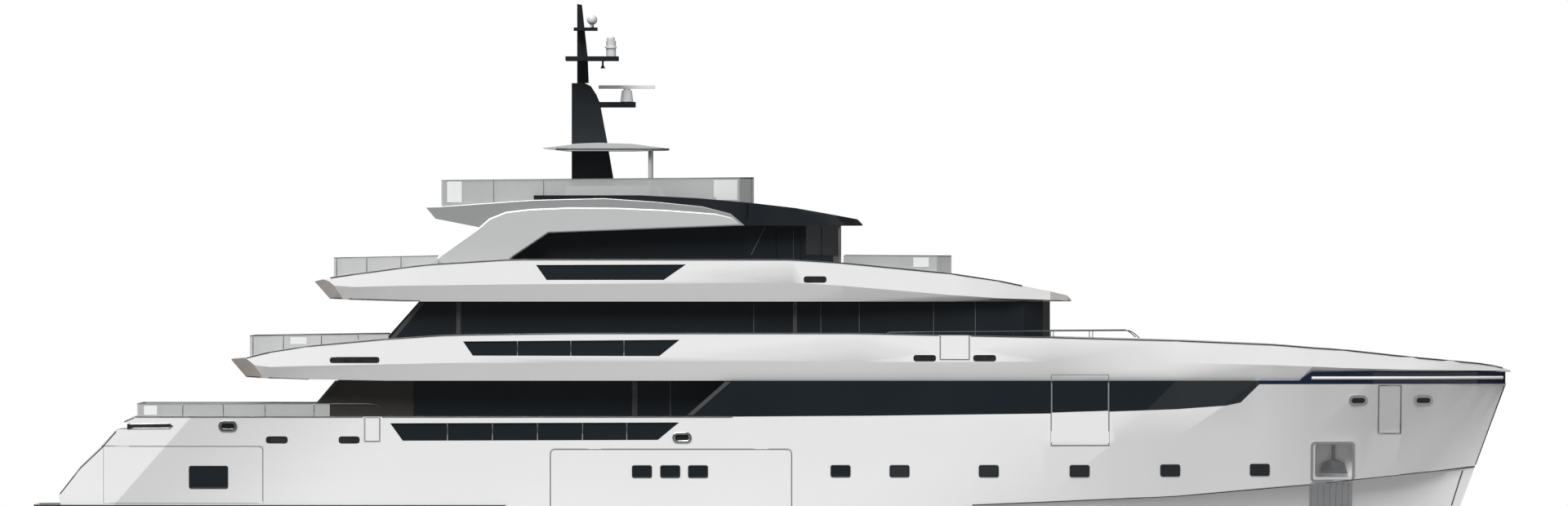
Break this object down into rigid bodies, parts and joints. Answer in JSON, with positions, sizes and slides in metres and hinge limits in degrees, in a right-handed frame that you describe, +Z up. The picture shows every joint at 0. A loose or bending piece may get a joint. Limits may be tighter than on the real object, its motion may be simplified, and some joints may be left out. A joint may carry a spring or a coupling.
{
  "type": "motor yacht, 1:2 scale model",
  "caption": "Motor yacht with a raked transom, tiered dark glass deckhouses, swept silver arches, a mast, shell doors, propellers and rudders, at half scale.",
  "frame": {"origin": "on the waterline plane, on the centreline, halfway along the overall length", "axes": "+X to the bow, +Y to port, +Z up"},
  "size_m": [27.15, 4.9206, 10.8854],
  "materials": {
    "white_paint": "gloss white yacht paint",
    "silver_paint": "metallic silver-grey paint",
    "dark_paint": "near-black blue paint",
    "navy_paint": "gloss navy paint",
    "bottom_paint": "matt antifouling",
    "dark_rubber": "dark platform edge and rubbing strake",
    "teak": "laid teak planks",
    "dark_glass": "dark tinted glass",
    "brown_glass": "brown tinted glass screen",
    "clear_glass": "light grey clear glass",
    "stainless": "polished stainless steel",
    "bronze": "cast propeller bronze"
  },
  "bodies": {
    "hull_and_superstructure": {"hull": "white_paint", "main_deck": "teak", "swim_platform": "dark_rubber", "main_saloon": "dark_glass", "wing_screen_port": "brown_glass", "wing_screen_stbd": "brown_glass", "cabin_glass": "dark_glass", "upper_band": "white_paint", "upper_deck": "teak", "upper_house": "dark_glass", "bridge_band": "white_paint", "bridge_deck": "teak", "bridge_house": "dark_glass", "arch_port": "silver_paint", "arch_stbd": "silver_paint", "roof": "dark_paint", "sun_deck": "silver_paint", "windscreen": "clear_glass", "sun_console": "white_paint", "hardtop": "silver_paint", "mast_lower": "dark_paint", "mast_upper": "dark_paint", "main_balustrade": "clear_glass", "upper_balustrade": "clear_glass", "bridge_balustrade": "clear_glass", "bridge_screen": "clear_glass", "bow_groove": "navy_paint", "anchor_port": "stainless", "anchor_stbd": "stainless", "shaft_bracket_port": "bronze", "shaft_bracket_stbd": "bronze"},
    "beach_door_port": {"beach_door_port": "white_paint"},
    "bow_gate_port": {"bow_gate_port": "white_paint"},
    "garage_door_port": {"garage_door_port": "white_paint"},
    "boarding_door_port": {"boarding_door_port": "white_paint"},
    "main_gate_port": {"main_gate_port": "white_paint"},
    "upper_gate_port": {"upper_gate_port": "white_paint"},
    "wing_door_port": {"wing_door_port": "dark_glass"},
    "rudder_port": {"rudder_port": "bottom_paint"},
    "fin_port": {"fin_port": "bottom_paint"},
    "propeller_port": {"propeller_port": "bronze"},
    "main_saloon_door_port": {"main_saloon_door_port": "dark_glass"},
    "upper_house_door_port": {"upper_house_door_port": "dark_glass"},
    "bridge_house_door_port": {"bridge_house_door_port": "dark_glass"},
    "beach_door_stbd": {"beach_door_stbd": "white_paint"},
    "bow_gate_stbd": {"bow_gate_stbd": "white_paint"},
    "garage_door_stbd": {"garage_door_stbd": "white_paint"},
    "boarding_door_stbd": {"boarding_door_stbd": "white_paint"},
    "main_gate_stbd": {"main_gate_stbd": "white_paint"},
    "upper_gate_stbd": {"upper_gate_stbd": "white_paint"},
    "wing_door_stbd": {"wing_door_stbd": "dark_glass"},
    "rudder_stbd": {"rudder_stbd": "bottom_paint"},
    "fin_stbd": {"fin_stbd": "bottom_paint"},
    "propeller_stbd": {"propeller_stbd": "bronze"},
    "main_saloon_door_stbd": {"main_saloon_door_stbd": "dark_glass"},
    "upper_house_door_stbd": {"upper_house_door_stbd": "dark_glass"},
    "bridge_house_door_stbd": {"bridge_house_door_stbd": "dark_glass"},
    "transom_door": {"transom_door": "white_paint"},
    "radar_scanner": {"radar_scanner": "white_paint"}
  },
  "joints": [
    {"name": "beach_door_port_fold", "type": "hinge", "parent": "hull_and_superstructure", "child": "beach_door_port", "pos_m": [-12.274, 2.14149, 0.336], "axis": [-0.9984, -0.0571, 0], "range_deg": [0, 90]},
    {"name": "bow_gate_port_fold", "type": "hinge", "parent": "hull_and_superstructure", "child": "bow_gate_port", "pos_m": [11.106, 1.12116, 1.596], "axis": [-0.9234, 0.3839, 0], "range_deg": [0, 90]},
    {"name": "garage_door_port_lift", "type": "hinge", "parent": "hull_and_superstructure", "child": "garage_door_port", "pos_m": [-4.089, 2.42749, 1.329], "axis": [1, 0, 0], "range_deg": [0, 90]},
    {"name": "boarding_door_port_swing", "type": "hinge", "parent": "hull_and_superstructure", "child": "boarding_door_port", "pos_m": [5.085, 2.42321, 1.386], "axis": [0, 0, 1], "range_deg": [0, 110]},
    {"name": "main_gate_port_swing", "type": "hinge", "parent": "hull_and_superstructure", "child": "main_gate_port", "pos_m": [-7.206, 2.36934, 1.461], "axis": [0, 0, 1], "range_deg": [0, 90]},
    {"name": "upper_gate_port_swing", "type": "hinge", "parent": "hull_and_superstructure", "child": "upper_gate_port", "pos_m": [3.594, 2.38164, 2.961], "axis": [0, 0, 1], "range_deg": [0, 90]},
    {"name": "wing_door_port_swing", "type": "hinge", "parent": "hull_and_superstructure", "child": "wing_door_port", "pos_m": [0.494, 1.6, 4.2803], "axis": [0, 0, -1], "range_deg": [0, 90]},
    {"name": "rudder_port_turn", "type": "hinge", "parent": "hull_and_superstructure", "child": "rudder_port", "pos_m": [-12.15, 1.05, -0.52], "axis": [0, 0, 1], "range_deg": [-35, 35]},
    {"name": "fin_port_turn", "type": "hinge", "parent": "hull_and_superstructure", "child": "fin_port", "pos_m": [0.9, 2.052, -0.76], "axis": [0, 0.8776, -0.4794], "range_deg": [-25, 25]},
    {"name": "propeller_port_spin", "type": "hinge", "parent": "hull_and_superstructure", "child": "propeller_port", "pos_m": [-11.45, 1.05, -1.02], "axis": [1, 0, 0], "continuous": true},
    {"name": "saloon_door_port_slide", "type": "slide", "parent": "hull_and_superstructure", "child": "main_saloon_door_port", "axis": [0, 1, 0], "range_m": [0, 0.75]},
    {"name": "upper_door_port_slide", "type": "slide", "parent": "hull_and_superstructure", "child": "upper_house_door_port", "axis": [0, 1, 0], "range_m": [0, 0.75]},
    {"name": "bridge_door_port_slide", "type": "slide", "parent": "hull_and_superstructure", "child": "bridge_house_door_port", "axis": [0, 1, 0], "range_m": [0, 0.55]},
    {"name": "beach_door_stbd_fold", "type": "hinge", "parent": "hull_and_superstructure", "child": "beach_door_stbd", "pos_m": [-12.274, -2.14149, 0.336], "axis": [0.9984, -0.0571, 0], "range_deg": [0, 90]},
    {"name": "bow_gate_stbd_fold", "type": "hinge", "parent": "hull_and_superstructure", "child": "bow_gate_stbd", "pos_m": [11.106, -1.12116, 1.596], "axis": [0.9234, 0.3839, 0], "range_deg": [0, 90]},
    {"name": "garage_door_stbd_lift", "type": "hinge", "parent": "hull_and_superstructure", "child": "garage_door_stbd", "pos_m": [-4.089, -2.42749, 1.329], "axis": [-1, 0, 0], "range_deg": [0, 90]},
    {"name": "boarding_door_stbd_swing", "type": "hinge", "parent": "hull_and_superstructure", "child": "boarding_door_stbd", "pos_m": [5.085, -2.42321, 1.386], "axis": [0, 0, -1], "range_deg": [0, 110]},
    {"name": "main_gate_stbd_swing", "type": "hinge", "parent": "hull_and_superstructure", "child": "main_gate_stbd", "pos_m": [-7.206, -2.36934, 1.461], "axis": [0, 0, -1], "range_deg": [0, 90]},
    {"name": "upper_gate_stbd_swing", "type": "hinge", "parent": "hull_and_superstructure", "child": "upper_gate_stbd", "pos_m": [3.594, -2.38164, 2.961], "axis": [0, 0, -1], "range_deg": [0, 90]},
    {"name": "wing_door_stbd_swing", "type": "hinge", "parent": "hull_and_superstructure", "child": "wing_door_stbd", "pos_m": [0.494, -1.6, 4.2803], "axis": [0, 0, 1], "range_deg": [0, 90]},
    {"name": "rudder_stbd_turn", "type": "hinge", "parent": "hull_and_superstructure", "child": "rudder_stbd", "pos_m": [-12.15, -1.05, -0.52], "axis": [0, 0, 1], "range_deg": [-35, 35]},
    {"name": "fin_stbd_turn", "type": "hinge", "parent": "hull_and_superstructure", "child": "fin_stbd", "pos_m": [0.9, -2.052, -0.76], "axis": [0, -0.8776, -0.4794], "range_deg": [-25, 25]},
    {"name": "propeller_stbd_spin", "type": "hinge", "parent": "hull_and_superstructure", "child": "propeller_stbd", "pos_m": [-11.45, -1.05, -1.02], "axis": [1, 0, 0], "continuous": true},
    {"name": "saloon_door_stbd_slide", "type": "slide", "parent": "hull_and_superstructure", "child": "main_saloon_door_stbd", "axis": [0, -1, 0], "range_m": [0, 0.75]},
    {"name": "upper_door_stbd_slide", "type": "slide", "parent": "hull_and_superstructure", "child": "upper_house_door_stbd", "axis": [0, -1, 0], "range_m": [0, 0.75]},
    {"name": "bridge_door_stbd_slide", "type": "slide", "parent": "hull_and_superstructure", "child": "bridge_house_door_stbd", "axis": [0, -1, 0], "range_m": [0, 0.55]},
    {"name": "transom_door_lift", "type": "hinge", "parent": "hull_and_superstructure", "child": "transom_door", "pos_m": [-12.402, 0, 1.297], "axis": [0, 1, 0], "range_deg": [0, 58]},
    {"name": "radar_spin", "type": "hinge", "parent": "hull_and_superstructure", "child": "radar_scanner", "pos_m": [-2.7, 0, 7.9203], "axis": [0, 0, 1], "continuous": true}
  ]
}
